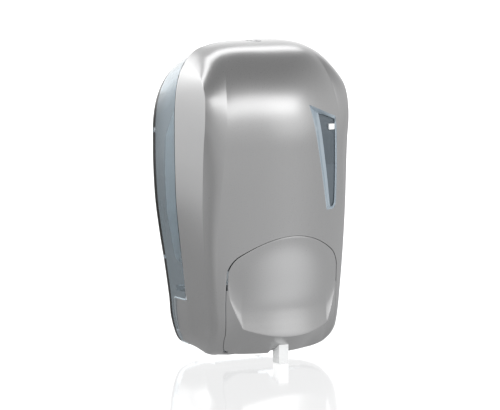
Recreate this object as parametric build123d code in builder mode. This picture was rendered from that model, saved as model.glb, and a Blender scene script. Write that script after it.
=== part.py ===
from build123d import *
import os
from math import cos, pi, radians, sin, sqrt

os.makedirs("parts", exist_ok=True)

# Wall mounted soap dispenser. +Z is up, the wall is the plane y = 0 and the front faces -Y.
# The origin is the middle of the four wall screw holes, on the wall. Heights named "level" or
# "_z" below are measured up from the bottom edge of the casing, and up() turns one into a z.

# ---- casing, in millimetres ----
body_height = 223.5  # bottom edge to the top of the dome
body_width = 124.8  # widest, at the shoulder
body_depth = 89.0  # wall to the middle of the front
skin = 2.4  # wall of the cover, the lever and the rear shell
back_skin = 3.0  # rear shell where it lies on the wall
gap = 0.6  # between the cover and the pieces let into it
fit = 0.05  # radial clearance of pins, pistons and barrels that turn or slide
dome_run = 54.0  # the dome's depth, front to its highest point
dome_start = 150.0  # the front face is upright below this level
foot_drop = 38.9  # the outline is this much narrower at its lower edge, on the wall
wall_top_drop = 5.8  # the dome is this much lower at the wall
crease_half = 51.3  # the inner crease, from the middle
band_half = 61.0  # the outer crease, from the middle
band_run = 11.5  # depth between the two creases
front_bulge = 13.0  # the front's crown between the inner creases
chin_run = 29.0  # the underside is flat behind this depth from the front
crown_play = 0.8  # the side profile passes this far in front of the crown, which shapes the front
hole_level = 112.0  # middle of the wall screw holes
hole_spacing_x = 70.0
hole_spacing_z = 90.0
hole_r = 2.6
clear = 20.0  # cutting shapes run this far past the casing

# ---- where the cover meets the rear shell ----
seam_y = 29.0  # depth of the rear shell above the step
step_level = 38.0
rim_y = 7.4  # depth of the rear shell below the step
foot_level = 13.0  # below this only the back plate is left
foot_y = 3.6

# ---- cover hinge ----
hinge_y = 11.0
hinge_z = 6.0
hinge_pin_r = 1.5
knuckle_r = 4.0
knuckle_width = 4.0
base_knuckle_x = 20.0
knuckle_gap = 0.4
slot_run = 9.0  # the slots for the knuckles go this far in front of the pin
ear_foot_run = 14.0

# ---- push lever ----
lever_half = 46.0
lever_shoulder_level = 69.0
lever_top_level = 87.5
lever_corner_r = 7.0
lever_tail_y = 66.0
pivot_y = 79.0
pivot_z = 80.0
pivot_pin_r = 1.5
lever_ear_x = 17.5
lever_ear_width = 4.0
cover_boss_width = 6.0
dish_depth = 6.0
dish_r = 120.0
dish_level = 50.0
notch_half = 7.5
notch_level = 8.5
press_angle = 9.0
corner_level = 16.0  # the cover is cut away to here beside the lever's lower corners
boss_run = 5.0  # the pivot bosses reach this far behind and below their pin
boss_face = 6.5
boss_top = 8.0
boss_join = 2.0

# ---- sight window ----
window_left = 16.5
window_right = 43.0
window_top = 180.0
window_top_right = 169.5
window_foot = 104.0
window_foot_left = 32.0
window_corner = 6.5
window_frame_skin = 1.5
window_pane = 1.8
window_flange = 3.5

# ---- pump ----
pump_z = 24.0
pump_r = 12.0
pump_bore_r = 9.0
pump_rear_y = 22.0
pump_front_y = 52.0
pump_back = 3.0
piston_length = 9.0
piston_play = 0.5
seal_depth = 1.4
seal_width = 2.0
socket_depth = 2.5  # the rod sits this deep in the nozzle's head
rod_r = 4.0
rod_bore_r = 1.6
spout_width = 8.0
spout_wall = 1.0
spout_valve_seat = 2.0
spout_valve_height = 1.6
slit = 0.4
spout_front_y = 76.5
spout_foot = -5.5
head_front_y = 73.8
head_depth = 6.0
head_half = 6.5
head_rise = 7.0
head_corner_r = 2.0
spout_set_back_level = 8.0
passage_y = 71.2
pad_r = 3.5
pad_front_y = 77.0
pusher_gap = 0.6
pusher_half_height = 2.5
cap_height = 2.0
port_r = 8.0
port_bore_r = 3.6
port_top = 45.0
port_y = 31.0
port_recess_r = 5.6
port_recess_level = 38.0
valve_flange = 1.5
valve_drop = 4.5
valve_root_r = 3.2
valve_tip_r = 1.2
valve_bore_r = 0.9
spring_r = 6.2
spring_wire = 1.0
spring_turns = 3.4

# ---- cradle and tank ----
cradle_half = 16.0
cradle_foot = 9.5
cradle_front_y = 40.0
cradle_top = 42.0
cradle_corner_r = 3.0
flange_half = 24.0
flange_height = 3.0
shelf_half = 43.0
shelf_front_y = 26.0
shelf_top = 46.0
shelf_height = 4.0
tank_back_y = 8.0
tank_front_y = 66.0
tank_foot = 62.0
tank_top = 176.0
tank_half = 56.0
tank_wall = 1.8
tank_r = 9.0
mouth_half = 19.0
mouth_back_y = 27.0
mouth_front_y = 45.0
mouth_rim = 1.2
neck_r = 4.2
neck_bore_r = 2.6
neck_foot = 41.0
clip_x = 36.0
clip_width = 8.0
clip_skin = 3.0
clip_leg = 12.0
clip_hook = 6.0

# ---- filler lid ----
lid_pin_y = 21.0
lid_pin_r = 1.0
lid_knuckle_r = 2.2
lid_knuckle_half = 11.0
tank_knuckle_x = 15.0
tank_knuckle_width = 6.0
lid_half = 22.0
lid_skin = 2.0
lid_tab = 4.0
lid_corner_r = 3.0
lid_gap = 0.6
gasket_height = 0.8

# ---- lock ----
lock_run = 8.0  # the lock is this far in front of the seam
lock_y = seam_y + lock_run
barrel_r = 4.5
lock_head_r = 5.5
lock_recess = 1.8  # the barrel's head is let into the dome by this much
collar_wall = 2.5
clip_rim = 2.2  # the spring clip that keeps the barrel in its collar
clip_height = 0.7
clip_mouth = 3.0
collar_gap = 1.0
key_hole_depth = 2.0
head_drop = 0.3  # the head is this much below the crown
cam_top = 214.4
cam_height = 2.0
cam_reach = 13.0
cam_half = 3.0
catch_top = 211.0
catch_height = 2.4
catch_inner_x = 8.0
catch_outer_x = 14.0
catch_front_y = lock_y + 9.0
catch_post_top = 215.5
catch_post_run = 5.0
catch_foot = 195.0
catch_half = 16.0
key_hole_r = 0.9
key_hole_x = 2.2
cam_screw_depth = 6.0

# ---- screws ----
screw_r = 1.5
screw_head_r = 2.9
screw_head_height = 1.8


def up(level):
    """The z of a height that is given from the bottom edge of the casing."""
    return level - hole_level


def finish(piece, name):
    """Label a finished piece and write it."""
    piece.part.label = name
    export_step(piece.part, f"parts/{name}.step")


def dome_points(half, rise, power, steps=8):
    """Points of a superellipse quarter, from its side (half, 0) to its top (0, rise)."""
    turns = [pi / 2 * i / steps for i in range(steps + 1)]
    return [(half * cos(t) ** (2 / power), rise * sin(t) ** (2 / power)) for t in turns]


def drawn_in(corners, inset):
    """An anticlockwise outline with each side moved inwards by inset, and the corners mitred."""
    moved = []
    count = len(corners)
    for i, here in enumerate(corners):
        normals = []
        for start, end in ((corners[i - 1], here), (here, corners[(i + 1) % count])):
            run, rise = end[0] - start[0], end[1] - start[1]
            length = sqrt(run * run + rise * rise)
            normals.append((-rise / length, run / length))
        (ax, ay), (bx, by) = normals
        share = inset / (1 + ax * bx + ay * by)
        moved.append((here[0] + (ax + bx) * share, here[1] + (ay + by) * share))
    return moved


def outline(y, foot_scale, crown_drop, dome, inset):
    """The casing's outline at a depth of y, as arcs, drawn inset inwards.

    foot_scale is how much of the taper to the foot is left there. The dome is crown_drop below the
    full height, and its points are (run in from the side, drop from the crown).
    """
    half = body_width / 2
    crown = up(body_height - crown_drop)
    taper = [(foot_drop, 0.0), (24.4, 6.6), (17.5, 20.9), (6.0, 84.5), (0.0, dome_start)]
    right = [(half - run * foot_scale, up(level)) for run, level in taper]
    right += [(half - run, crown - drop) for run, drop in dome]
    right += [(0.0, crown)]
    left = [(-x, z) for x, z in reversed(right[:-1])]
    points = drawn_in(right + left, inset)
    with BuildSketch(Plane.XZ.offset(y)) as sketch:
        with BuildLine():
            for first in range(0, len(points) - 2, 2):
                ThreePointArc(*points[first:first + 3])
            Line(points[-1], points[0])
        make_face()
    return sketch.sketch


# the dome is rounder at the wall, where it is also lower, and squarer from the seam forward
wall_dome = [(0.5, 47.7), (5.4, 29.2), (15.7, 14.4), (26.4, 6.8)]
seam_dome = [(0.2, 48.5), (1.4, 35.0), (6.4, 17.5), (20.4, 4.9)]


def casing_form(inset):
    """The solid inside the casing's outer face, drawn inset inwards all round."""
    high_y = dome_run - body_depth
    dome = dome_points(dome_run + crown_play, body_height - dome_start, 2.2)
    arch = [(high_y - y, up(dome_start) + z) for y, z in reversed(dome)]
    chin_points = [(-crown_play, 26.0), (2.0, 16.0), (8.0, 8.0), (17.0, 2.5)]
    chin = [(run - body_depth, up(level)) for run, level in chin_points]
    back = [(2.0, up(0.0)), (2.0, up(body_height - wall_top_drop))]
    profile = drawn_in(back + arch + chin + [(chin_run - body_depth, up(0.0))], inset)
    arch_end = len(back) + len(arch)
    slope = band_run / (band_half - crease_half)
    crease_y = front_bulge - body_depth
    side_y = crease_y + (body_width - crease_half) * slope
    plan = drawn_in([(body_width, 60.0), (-body_width, 60.0), (-body_width, side_y),
                     (-crease_half, crease_y), (0.0, -body_depth), (crease_half, crease_y),
                     (body_width, side_y)], inset)
    with BuildPart() as form:
        add(outline(-1.0, 1.0, wall_top_drop, wall_dome, inset))
        add(outline(seam_y, 0.85, 0.0, seam_dome, inset))
        add(outline(body_depth + 6, 0.55, 0.0, seam_dome, inset))
        loft(ruled=True)
        with BuildSketch(Plane.YZ.offset(-body_width)):
            with BuildLine():
                Polyline(*profile[:2])
                Spline(*profile[1:3], tangents=[(-1, 0.32), (-1, 0)])
                Spline(*profile[2:arch_end], tangents=[(-1, 0), (0, -1)])
                Line(profile[arch_end - 1], profile[arch_end])
                Spline(*profile[arch_end:-1], tangents=[(0, -1), (1, -0.45)])
                Polyline(profile[-2], profile[-1], profile[0])
            make_face()
        extrude(amount=2 * body_width, mode=Mode.INTERSECT)
        with BuildSketch(Plane.XY.offset(up(-clear))):
            with BuildLine():
                ThreePointArc(plan[3], (0, inset - body_depth), plan[5])
                Polyline(plan[5], plan[6], plan[0], plan[1], plan[2], plan[3])
            make_face()
        extrude(amount=body_height + 2 * clear, mode=Mode.INTERSECT)
    return form.part


def block(x_low, x_high, y_near, y_far, low, high):
    """A plain block between two x, two depths from the wall and two levels."""
    with BuildPart() as made:
        with BuildSketch(Plane.XY.offset(up(low))):
            with Locations(((x_low + x_high) / 2, -(y_near + y_far) / 2)):
                Rectangle(x_high - x_low, y_far - y_near)
        extrude(amount=high - low)
    return made.part


def cross_pin(radius, x_low, x_high, depth, level):
    """A round bar along X at a depth from the wall and a level."""
    with BuildPart() as made:
        with BuildSketch(Plane.YZ.offset(x_low)):
            with Locations((-depth, up(level))):
                Circle(radius)
        extrude(amount=x_high - x_low)
    return made.part


def post(radius, x, depth, low, high):
    """An upright round bar between two levels."""
    with BuildPart() as made:
        with BuildSketch(Plane.XY.offset(up(low))):
            with Locations((x, -depth)):
                Circle(radius)
        extrude(amount=high - low)
    return made.part


def bar(radius, x, level, y_near, y_far):
    """A round bar square to the wall between two depths."""
    with BuildPart() as made:
        with BuildSketch(Plane.XZ.offset(y_near)):
            with Locations((x, up(level))):
                Circle(radius)
        extrude(amount=y_far - y_near)
    return made.part


def lever_prism(grow, y_near, y_far):
    """The push lever's front outline, grown by grow, between two depths."""
    half = lever_half + grow
    shoulder = up(lever_shoulder_level + grow)
    with BuildPart() as made:
        with BuildSketch(Plane.XZ.offset(y_near)):
            with BuildLine():
                arch = ThreePointArc((-half, shoulder), (0, up(lever_top_level + grow)), (half, shoulder))
                Polyline(arch @ 1, (half, up(-clear)), (-half, up(-clear)), arch @ 0)
            face = make_face()
            corners = face.vertices().group_by(Axis.Y)[-1]
            fillet(corners, radius=lever_corner_r + grow)
        extrude(amount=y_far - y_near)
    return made.part


def window_prism(grow, y_near, y_far):
    """The sight window's front outline, grown by grow, between two depths."""
    with BuildPart() as made:
        with BuildSketch(Plane.XZ.offset(y_near)):
            with BuildLine():
                Polyline((window_left, up(window_top)), (window_right, up(window_top_right)),
                         (window_right, up(window_foot + window_corner)),
                         (window_foot_left + window_corner, up(window_foot)),
                         (window_foot_left, up(window_foot)), close=True)
            make_face()
            if grow > 0:
                offset(amount=grow, kind=Kind.INTERSECTION)
        extrude(amount=y_far - y_near)
    return made.part


def screw(plane_y, x, level, length):
    """A pan head screw square to the wall; its head is in front of plane_y."""
    with BuildPart() as made:
        add(bar(screw_r, x, level, plane_y - length, plane_y))
        add(bar(screw_head_r, x, level, plane_y, plane_y + screw_head_height))
        fillet(made.faces().sort_by(Axis.Y)[0].edges(), radius=screw_head_height / 3)
    return made.part


far = body_depth + clear
screw_end_y = 0.8
hinge_reach = base_knuckle_x + 1.5 * knuckle_width + knuckle_gap
boss_x = lever_ear_x + lever_ear_width / 2 + knuckle_gap
pivot_reach = boss_x + cover_boss_width - pivot_pin_r
catch_screw_level = catch_foot + 2 * screw_head_r
catch_screw_xs = (-catch_half / 2, catch_half / 2)
cradle_screw_x = (cradle_half + flange_half) / 2
cradle_screw_levels = (16.0, 32.0)
cradle_screw_places = [(side * cradle_screw_x, level) for side in (-1, 1) for level in cradle_screw_levels]
outer_form = casing_form(0.0)
inner_form = casing_form(skin)

# ---- rear shell: smoked clear moulding, screwed flat to the wall ----
with BuildPart() as rear_shell:
    add(outer_form)
    add(inner_form, mode=Mode.SUBTRACT)
    with BuildSketch(Plane.YZ.offset(-body_width)):
        with BuildLine():
            Polyline((0, up(-clear)), (-foot_y, up(-clear)), (-foot_y, up(foot_level)),
                     (-rim_y, up(foot_level)), (-rim_y, up(step_level + gap)),
                     (-seam_y, up(step_level + gap)), (-seam_y, up(body_height + clear)),
                     (0, up(body_height + clear)), close=True)
        make_face()
    extrude(amount=2 * body_width, mode=Mode.INTERSECT)
    with BuildPart(mode=Mode.PRIVATE) as back_plate:
        add(outer_form)
        add(block(-body_width, body_width, 0, back_skin, -clear, body_height + clear), mode=Mode.INTERSECT)
    add(back_plate.part)
    with Locations(Plane.XZ):
        with GridLocations(hole_spacing_x, hole_spacing_z, 2, 2):
            Cylinder(hole_r, 4 * back_skin, mode=Mode.SUBTRACT)
    for side in (-1, 1):
        x = side * base_knuckle_x
        add(cross_pin(knuckle_r, x - knuckle_width / 2, x + knuckle_width / 2, hinge_y, hinge_z))
        add(block(x - knuckle_width / 2, x + knuckle_width / 2, back_skin / 2, hinge_y,
                  hinge_z - knuckle_r, hinge_z + knuckle_r))
    add(cross_pin(hinge_pin_r, -hinge_reach, hinge_reach, hinge_y, hinge_z), mode=Mode.SUBTRACT)
    for x in catch_screw_xs:
        add(bar(screw_r, x, catch_screw_level, screw_end_y, far), mode=Mode.SUBTRACT)
    for x, level in cradle_screw_places:
        add(bar(screw_r, x, level, screw_end_y, far), mode=Mode.SUBTRACT)
finish(rear_shell, "rear_shell")

# ---- front cover: one silver moulding, open at the back, hinged at its foot ----
ear_x = base_knuckle_x + knuckle_width / 2 + knuckle_gap
floor_y = hinge_y + 1.0
tail_swing = pivot_z * sin(radians(press_angle))
bottom_opening_y = lever_tail_y - tail_swing - gap
with BuildPart() as front_cover:
    add(outer_form)
    add(inner_form, mode=Mode.SUBTRACT)
    with BuildSketch(Plane.YZ.offset(-body_width)):
        with BuildLine():
            Polyline((-far, up(-clear)), (-floor_y, up(-clear)), (-floor_y, up(hinge_z / 2)),
                     (-rim_y - gap, up(hinge_z / 2)), (-rim_y - gap, up(step_level)),
                     (-seam_y - gap, up(step_level)), (-seam_y - gap, up(body_height + clear)),
                     (-far, up(body_height + clear)), close=True)
        make_face()
    extrude(amount=2 * body_width, mode=Mode.INTERSECT)
    # opening for the lever: through the front and back along the underside
    add(lever_prism(gap, lever_tail_y - lever_corner_r, far), mode=Mode.SUBTRACT)
    add(block(-lever_half - gap, lever_half + gap, bottom_opening_y, far, -clear, corner_level),
        mode=Mode.SUBTRACT)
    add(window_prism(0.0, band_run, far), mode=Mode.SUBTRACT)
    # slots in the floor that clear the rear shell's knuckles
    for side in (-1, 1):
        x = side * base_knuckle_x
        reach = knuckle_width / 2 + knuckle_gap
        add(block(x - reach, x + reach, 0, hinge_y + slot_run, -clear, hinge_z + knuckle_r),
            mode=Mode.SUBTRACT)
    # hinge ears standing on the floor
    for side in (-1, 1):
        low_x = ear_x if side > 0 else -ear_x - knuckle_width
        add(cross_pin(knuckle_r, low_x, low_x + knuckle_width, hinge_y, hinge_z))
        add(block(low_x, low_x + knuckle_width, hinge_y, hinge_y + ear_foot_run,
                  skin / 2, hinge_z + knuckle_r / 2))
    add(cross_pin(hinge_pin_r + fit, -hinge_reach, hinge_reach, hinge_y, hinge_z), mode=Mode.SUBTRACT)
    # two bosses behind the arch, which hold the lever's pins
    for side in (-1, 1):
        low_x = boss_x if side > 0 else -boss_x - cover_boss_width
        with BuildPart(mode=Mode.PRIVATE) as boss:
            add(block(low_x, low_x + cover_boss_width, pivot_y - boss_run, body_depth - boss_face,
                      pivot_z - boss_run, lever_top_level + boss_top))
            add(block(low_x, low_x + cover_boss_width, pivot_y - boss_run, far,
                      lever_top_level + boss_join, lever_top_level + boss_top))
            add(outer_form, mode=Mode.INTERSECT)
        add(boss.part)
    add(cross_pin(pivot_pin_r, -pivot_reach, pivot_reach, pivot_y, pivot_z), mode=Mode.SUBTRACT)
    # lock collar under the dome
    add(post(barrel_r + fit + collar_wall, 0, lock_y, cam_top + collar_gap, body_height - skin))
    add(post(barrel_r + fit, 0, lock_y, 0, body_height + clear), mode=Mode.SUBTRACT)
    add(post(lock_head_r + fit, 0, lock_y, body_height - lock_recess, body_height + clear),
        mode=Mode.SUBTRACT)
finish(front_cover, "front_cover")

# ---- push lever: silver panel with a palm dish, two ears and a pusher ----
dish_y = -(body_depth - dish_depth) - dish_r
with BuildPart() as push_lever:
    with Locations((0, dish_y, up(dish_level))):
        Sphere(dish_r + skin)
    add(outer_form, mode=Mode.INTERSECT)
    with BuildPart(mode=Mode.PRIVATE) as lever_skin:
        add(outer_form)
        add(inner_form, mode=Mode.SUBTRACT)
    add(lever_skin.part)
    add(lever_prism(0.0, lever_tail_y, far), mode=Mode.INTERSECT)
    with Locations((0, dish_y, up(dish_level))):
        Sphere(dish_r, mode=Mode.SUBTRACT)
    for side in (-1, 1):
        x = side * lever_ear_x
        with BuildPart(mode=Mode.PRIVATE) as ear:
            add(cross_pin(knuckle_r, x - lever_ear_width / 2, x + lever_ear_width / 2, pivot_y, pivot_z))
            add(block(x - lever_ear_width / 2, x + lever_ear_width / 2, pivot_y, body_depth - skin / 2,
                      pivot_z - knuckle_r, pivot_z))
        add(ear.part)
    add(cross_pin(pivot_pin_r + fit, -boss_x, boss_x, pivot_y, pivot_z), mode=Mode.SUBTRACT)
    add(block(-notch_half, notch_half, 0, far, -20, notch_level), mode=Mode.SUBTRACT)
    with BuildPart(mode=Mode.PRIVATE) as pusher:
        add(block(-pad_r, pad_r, pad_front_y + pusher_gap, body_depth - skin,
                  pump_z - pusher_half_height, pump_z + pusher_half_height))
        with Locations((0, dish_y, up(dish_level))):
            Sphere(dish_r + skin / 2, mode=Mode.SUBTRACT)
    add(pusher.part)
finish(push_lever, "push_lever")

# ---- pins of the cover hinge, pressed into the rear shell, and of the lever, into the cover ----
with BuildPart() as hinge_pins:
    for side in (-1, 1):
        low_x = base_knuckle_x - knuckle_width / 2 if side > 0 else -hinge_reach
        add(cross_pin(hinge_pin_r, low_x, low_x + 2 * knuckle_width + knuckle_gap, hinge_y, hinge_z))
finish(hinge_pins, "hinge_pins")

with BuildPart() as lever_pins:
    for side in (-1, 1):
        inner_x = lever_ear_x - lever_ear_width / 2
        low_x = inner_x if side > 0 else -pivot_reach
        add(cross_pin(pivot_pin_r, low_x, low_x + pivot_reach - inner_x, pivot_y, pivot_z))
finish(lever_pins, "lever_pins")

# ---- sight window: smoked pane that lies behind its opening, and the frame that holds it ----
pane_inset = skin + fit
frame_inset = pane_inset + window_pane
pane_back = casing_form(frame_inset)
with BuildPart() as sight_window:
    add(casing_form(pane_inset))
    add(pane_back, mode=Mode.SUBTRACT)
    add(window_prism(window_flange, body_depth / 2, far), mode=Mode.INTERSECT)
finish(sight_window, "sight_window")

with BuildPart() as window_frame:
    add(pane_back)
    add(casing_form(frame_inset + window_frame_skin), mode=Mode.SUBTRACT)
    add(window_prism(window_flange, body_depth / 2, far), mode=Mode.INTERSECT)
    add(window_prism(0.0, 0.0, far), mode=Mode.SUBTRACT)
finish(window_frame, "window_frame")

# ---- pump: body, front cap, piston with its rod, seal ring, nozzle and valves ----
with BuildPart() as pump_body:
    add(bar(pump_r, 0, pump_z, pump_rear_y, pump_front_y))
    add(post(port_r, 0, port_y, pump_z, port_top))
    add(bar(pump_bore_r, 0, pump_z, pump_rear_y + pump_back, far), mode=Mode.SUBTRACT)
    add(post(port_bore_r, 0, port_y, pump_z, port_top), mode=Mode.SUBTRACT)
    add(post(port_recess_r, 0, port_y, port_recess_level, port_top), mode=Mode.SUBTRACT)
finish(pump_body, "pump_body")

with BuildPart() as pump_cap:
    add(bar(pump_r, 0, pump_z, pump_front_y, pump_front_y + cap_height))
    add(bar(rod_r + fit, 0, pump_z, 0, far), mode=Mode.SUBTRACT)
finish(pump_cap, "pump_cap")

piston_front_y = pump_front_y - piston_play
groove_r = pump_bore_r - seal_depth
groove_back_y = piston_front_y - piston_length / 2 - seal_width / 2
groove_front_y = groove_back_y + seal_width
head_back_y = head_front_y - head_depth
with BuildPart() as piston:
    add(bar(pump_bore_r - fit, 0, pump_z, piston_front_y - piston_length, piston_front_y))
    add(bar(pump_bore_r, 0, pump_z, groove_back_y, groove_front_y), mode=Mode.SUBTRACT)
    add(bar(groove_r, 0, pump_z, groove_back_y, groove_front_y))
    add(bar(rod_r, 0, pump_z, piston_front_y - 1, head_back_y + socket_depth))
    add(bar(rod_bore_r, 0, pump_z, 0, far), mode=Mode.SUBTRACT)
finish(piston, "piston")

with BuildPart() as piston_seal:
    add(bar(pump_bore_r - fit, 0, pump_z, groove_back_y, groove_front_y))
    add(bar(groove_r, 0, pump_z, 0, far), mode=Mode.SUBTRACT)
finish(piston_seal, "piston_seal")

half = spout_width / 2
spout_back_y = spout_front_y - spout_width
valve_r = half - spout_wall
with BuildPart() as nozzle:
    add(block(-half, half, spout_back_y, spout_front_y, spout_foot, spout_set_back_level))
    add(block(-half, half, spout_back_y, head_front_y, spout_foot, pump_z))
    add(block(-head_half, head_half, head_back_y, head_front_y, pump_z - head_rise, pump_z + head_rise))
    fillet(nozzle.edges().filter_by(Axis.Y).group_by(Axis.Z)[-1], radius=head_corner_r)
    add(bar(pad_r, 0, pump_z, head_front_y, pad_front_y))
    add(bar(rod_r, 0, pump_z, 0, head_back_y + socket_depth), mode=Mode.SUBTRACT)
    add(bar(rod_bore_r, 0, pump_z, 0, passage_y), mode=Mode.SUBTRACT)
    add(post(rod_bore_r, 0, passage_y, spout_foot, pump_z), mode=Mode.SUBTRACT)
    add(post(valve_r, 0, spout_front_y - half, spout_foot, spout_foot + spout_valve_seat),
        mode=Mode.SUBTRACT)
finish(nozzle, "nozzle")

with BuildPart() as spout_valve:
    valve_top = spout_foot + spout_valve_seat
    add(post(valve_r, 0, spout_front_y - half, valve_top - spout_valve_height, valve_top))
    add(block(-slit / 2, slit / 2, 0, far, spout_foot, valve_top - spout_valve_height / 2),
        mode=Mode.SUBTRACT)
finish(spout_valve, "spout_valve")

with BuildPart() as inlet_valve:
    flange_top = port_recess_level + valve_flange
    add(post(port_recess_r, 0, port_y, port_recess_level, flange_top))
    with BuildSketch(Plane.XY.offset(up(port_recess_level))):
        with Locations((0, -port_y)):
            Circle(valve_root_r)
    with BuildSketch(Plane.XY.offset(up(port_recess_level - valve_drop))):
        with Locations((0, -port_y)):
            Circle(valve_tip_r)
    loft()
    add(post(valve_bore_r, 0, port_y, 0, port_top), mode=Mode.SUBTRACT)
finish(inlet_valve, "inlet_valve")

with BuildPart() as tank_seal:
    add(post(port_recess_r, 0, port_y, flange_top, port_top))
    add(post(neck_r, 0, port_y, 0, port_top + 1), mode=Mode.SUBTRACT)
finish(tank_seal, "tank_seal")

# ---- return spring on the rod, between the pump's cap and the nozzle's head ----
cap_front_y = pump_front_y + cap_height
spring_room = head_back_y - cap_front_y - spring_wire - 2 * fit
with BuildPart() as pump_spring:
    with BuildLine():
        coil = Helix(pitch=spring_room / spring_turns, height=spring_room, radius=spring_r,
                     center=(0, -cap_front_y - spring_wire / 2 - fit, up(pump_z)), direction=(0, -1, 0))
    with BuildSketch(Plane(origin=coil @ 0, z_dir=coil % 0)):
        Circle(spring_wire / 2)
    sweep(is_frenet=True)
finish(pump_spring, "pump_spring")

# ---- cradle: holds the pump and carries the tank's shelf ----
with BuildPart() as cradle:
    add(block(-cradle_half, cradle_half, back_skin, cradle_front_y, cradle_foot, cradle_top))
    add(block(-flange_half, flange_half, back_skin, back_skin + flange_height,
              hinge_z + knuckle_r + gap, cradle_top))
    add(block(-shelf_half, shelf_half, back_skin, shelf_front_y, shelf_top - shelf_height, shelf_top))
    fillet(cradle.edges().filter_by(Axis.Y).group_by(Axis.Z)[0], radius=cradle_corner_r)
    add(bar(pump_r, 0, pump_z, pump_rear_y, far), mode=Mode.SUBTRACT)
    add(post(port_r, 0, port_y, pump_z, shelf_top + 1), mode=Mode.SUBTRACT)
    add(block(-port_r, port_r, port_y, far, pump_z, shelf_top + 1), mode=Mode.SUBTRACT)
    # the box is hollow behind the pump
    add(block(skin - cradle_half, cradle_half - skin, back_skin, pump_rear_y - skin,
              cradle_foot + skin, shelf_top - shelf_height), mode=Mode.SUBTRACT)
    for x, level in cradle_screw_places:
        add(bar(screw_r, x, level, 0, far), mode=Mode.SUBTRACT)
finish(cradle, "cradle")

with BuildPart() as cradle_screws:
    for x, level in cradle_screw_places:
        add(screw(back_skin + flange_height, x, level, back_skin + flange_height - screw_end_y))
finish(cradle_screws, "cradle_screws")


def tank_form(inset):
    """The tank's outer shape, drawn inset inwards: narrower at its foot and its shoulder."""
    with BuildPart() as form:
        with BuildSketch(Plane.XZ.offset(tank_back_y + inset)):
            sides = [(10.0, tank_foot), (2.0, 100.0), (0.0, 130.0), (1.0, 155.0), (9.0, tank_top)]
            right = [(tank_half - run, up(level)) for run, level in sides]
            left = [(-x, z) for x, z in reversed(right)]
            with BuildLine():
                Polyline(*right, *left, close=True)
            face = make_face()
            fillet(face.vertices(), radius=tank_r)
            if inset > 0:
                offset(amount=-inset)
        extrude(amount=tank_front_y - tank_back_y - 2 * inset)
        if inset == 0:
            fillet(form.faces().sort_by(Axis.Y)[0].edges(), radius=tank_r / 2)
    return form.part


# ---- tank: translucent moulding with a filling mouth on top and a neck below ----
lid_foot = tank_top + mouth_rim + gasket_height + 2 * fit
tank_knuckle_level = lid_foot + lid_skin / 2 + 2 * fit
with BuildPart() as tank:
    add(tank_form(0.0))
    add(block(-mouth_half - mouth_rim, mouth_half + mouth_rim, mouth_back_y - mouth_rim,
              mouth_front_y + mouth_rim, tank_top - 1, tank_top + mouth_rim))
    add(post(neck_r, 0, port_y, neck_foot, tank_foot + 1))
    add(tank_form(tank_wall), mode=Mode.SUBTRACT)
    add(block(-mouth_half, mouth_half, mouth_back_y, mouth_front_y, tank_top - 10, tank_top + 10),
        mode=Mode.SUBTRACT)
    add(post(neck_bore_r, 0, port_y, 0, tank_foot + tank_wall + 1), mode=Mode.SUBTRACT)
    for side in (-1, 1):
        low_x = side * tank_knuckle_x - tank_knuckle_width / 2
        add(cross_pin(lid_knuckle_r, low_x, low_x + tank_knuckle_width, lid_pin_y, tank_knuckle_level))
        add(block(low_x, low_x + tank_knuckle_width, lid_pin_y - lid_knuckle_r,
                  lid_pin_y + lid_knuckle_r, tank_top - 1, tank_knuckle_level))
    add(cross_pin(lid_pin_r, -lid_half, lid_half, lid_pin_y, tank_knuckle_level), mode=Mode.SUBTRACT)
finish(tank, "tank")

with BuildPart() as tank_clips:
    for side in (-1, 1):
        low_x = side * clip_x - clip_width / 2
        add(block(low_x, low_x + clip_width, back_skin, back_skin + clip_skin,
                  tank_top - clip_leg, tank_top + clip_skin))
        add(block(low_x, low_x + clip_width, back_skin, tank_back_y + clip_hook,
                  tank_top + knuckle_gap, tank_top + clip_skin))
finish(tank_clips, "tank_clips")

# ---- filler lid with its gasket and pin ----
with BuildPart() as filler_lid:
    add(block(-lid_half, lid_half, lid_pin_y + lid_knuckle_r + lid_gap, mouth_front_y + lid_tab,
              lid_foot, lid_foot + lid_skin))
    fillet(filler_lid.edges().filter_by(Axis.Z), radius=lid_corner_r)
    add(block(-lid_knuckle_half, lid_knuckle_half, lid_pin_y, lid_pin_y + lid_knuckle_r + lid_corner_r,
              lid_foot, lid_foot + lid_skin))
    add(cross_pin(lid_knuckle_r, -lid_knuckle_half, lid_knuckle_half, lid_pin_y, tank_knuckle_level))
    add(cross_pin(lid_pin_r + fit, -lid_half, lid_half, lid_pin_y, tank_knuckle_level),
        mode=Mode.SUBTRACT)
finish(filler_lid, "filler_lid")

with BuildPart() as lid_gasket:
    add(block(-mouth_half - mouth_rim, mouth_half + mouth_rim, mouth_back_y - mouth_rim,
              mouth_front_y + mouth_rim, lid_foot - gasket_height, lid_foot))
    add(block(-mouth_half, mouth_half, mouth_back_y, mouth_front_y, 0, lid_foot + 1), mode=Mode.SUBTRACT)
finish(lid_gasket, "lid_gasket")

with BuildPart() as lid_pin:
    reach = tank_knuckle_x + tank_knuckle_width / 2
    add(cross_pin(lid_pin_r, -reach, reach, lid_pin_y, tank_knuckle_level))
finish(lid_pin, "lid_pin")

# ---- catch: strip on the rear shell whose two tongues reach under the lock ----
with BuildPart() as catch:
    strip_y = back_skin + catch_height
    add(block(-catch_half, catch_half, back_skin, strip_y, catch_foot, catch_top))
    for side in (-1, 1):
        low_x = catch_inner_x if side > 0 else -catch_outer_x
        high_x = low_x + catch_outer_x - catch_inner_x
        add(block(low_x, high_x, back_skin, catch_front_y, catch_top - catch_height, catch_top))
        add(block(low_x, high_x, catch_front_y - catch_post_run, catch_front_y,
                  catch_top - catch_height, catch_post_top))
    for x in catch_screw_xs:
        add(bar(screw_r, x, catch_screw_level, 0, far), mode=Mode.SUBTRACT)
finish(catch, "catch")

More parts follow.
